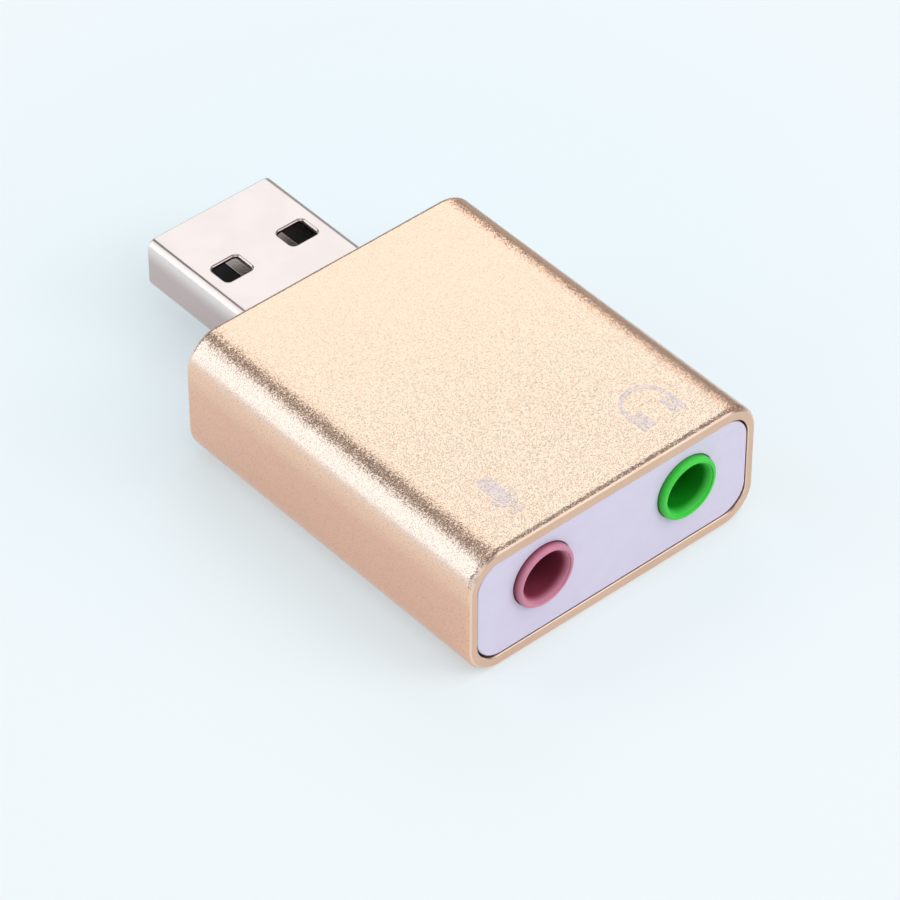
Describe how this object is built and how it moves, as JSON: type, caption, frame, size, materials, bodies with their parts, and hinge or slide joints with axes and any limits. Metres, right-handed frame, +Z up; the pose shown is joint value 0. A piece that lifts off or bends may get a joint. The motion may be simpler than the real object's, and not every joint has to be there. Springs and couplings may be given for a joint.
{
  "type": "usb sound card",
  "caption": "Small USB sound card: a rounded aluminium sleeve with a headphone socket beside a microphone socket at the front and a USB plug at the back.",
  "frame": {"origin": "middle of the whole length and width, on the flat bottom that the sleeve lies on", "axes": "+Y along the USB plug, +Z up, the sockets face -Y with the headphone socket towards +X"},
  "size_m": [0.0274, 0.0458, 0.0111],
  "materials": {
    "gold_aluminium": "bead-blasted and anodised, champagne gold",
    "white_plastic": "satin moulded, cool white",
    "green_plastic": "moulded, bright green",
    "pink_plastic": "moulded, dusky pink",
    "plated_steel": "nickel plated, satin",
    "black_plastic": "moulded, black",
    "contact_metal": "plated spring strip",
    "board_laminate": "glass fibre board with green mask",
    "tinned_metal": "tin plated",
    "can_aluminium": "drawn, bright",
    "pale_ceramic": "fired ceramic",
    "tan_ceramic": "fired ceramic"
  },
  "bodies": {
    "root": {"audio_chip": "black_plastic", "audio_chip_leads": "tinned_metal", "chip_capacitors": "tan_ceramic", "chip_resistors": "black_plastic", "circuit_board": "board_laminate", "crystal_base": "pale_ceramic", "crystal_lid": "tinned_metal", "front_panel": "white_plastic", "headphone_jack_body": "green_plastic", "headphone_ring_contact": "contact_metal", "headphone_sleeve_contact": "contact_metal", "headphone_tip_contact": "contact_metal", "housing_sleeve": "gold_aluminium", "left_capacitor_can": "can_aluminium", "left_capacitor_seat": "black_plastic", "microphone_jack_body": "pink_plastic", "microphone_ring_contact": "contact_metal", "microphone_sleeve_contact": "contact_metal", "microphone_tip_contact": "contact_metal", "rear_panel": "white_plastic", "right_capacitor_can": "can_aluminium", "right_capacitor_seat": "black_plastic", "usb_contact_data_minus": "contact_metal", "usb_contact_data_plus": "contact_metal", "usb_contact_ground": "contact_metal", "usb_contact_power": "contact_metal", "usb_insulator": "black_plastic", "usb_plug_shell": "plated_steel"}
  },
  "joints": []
}
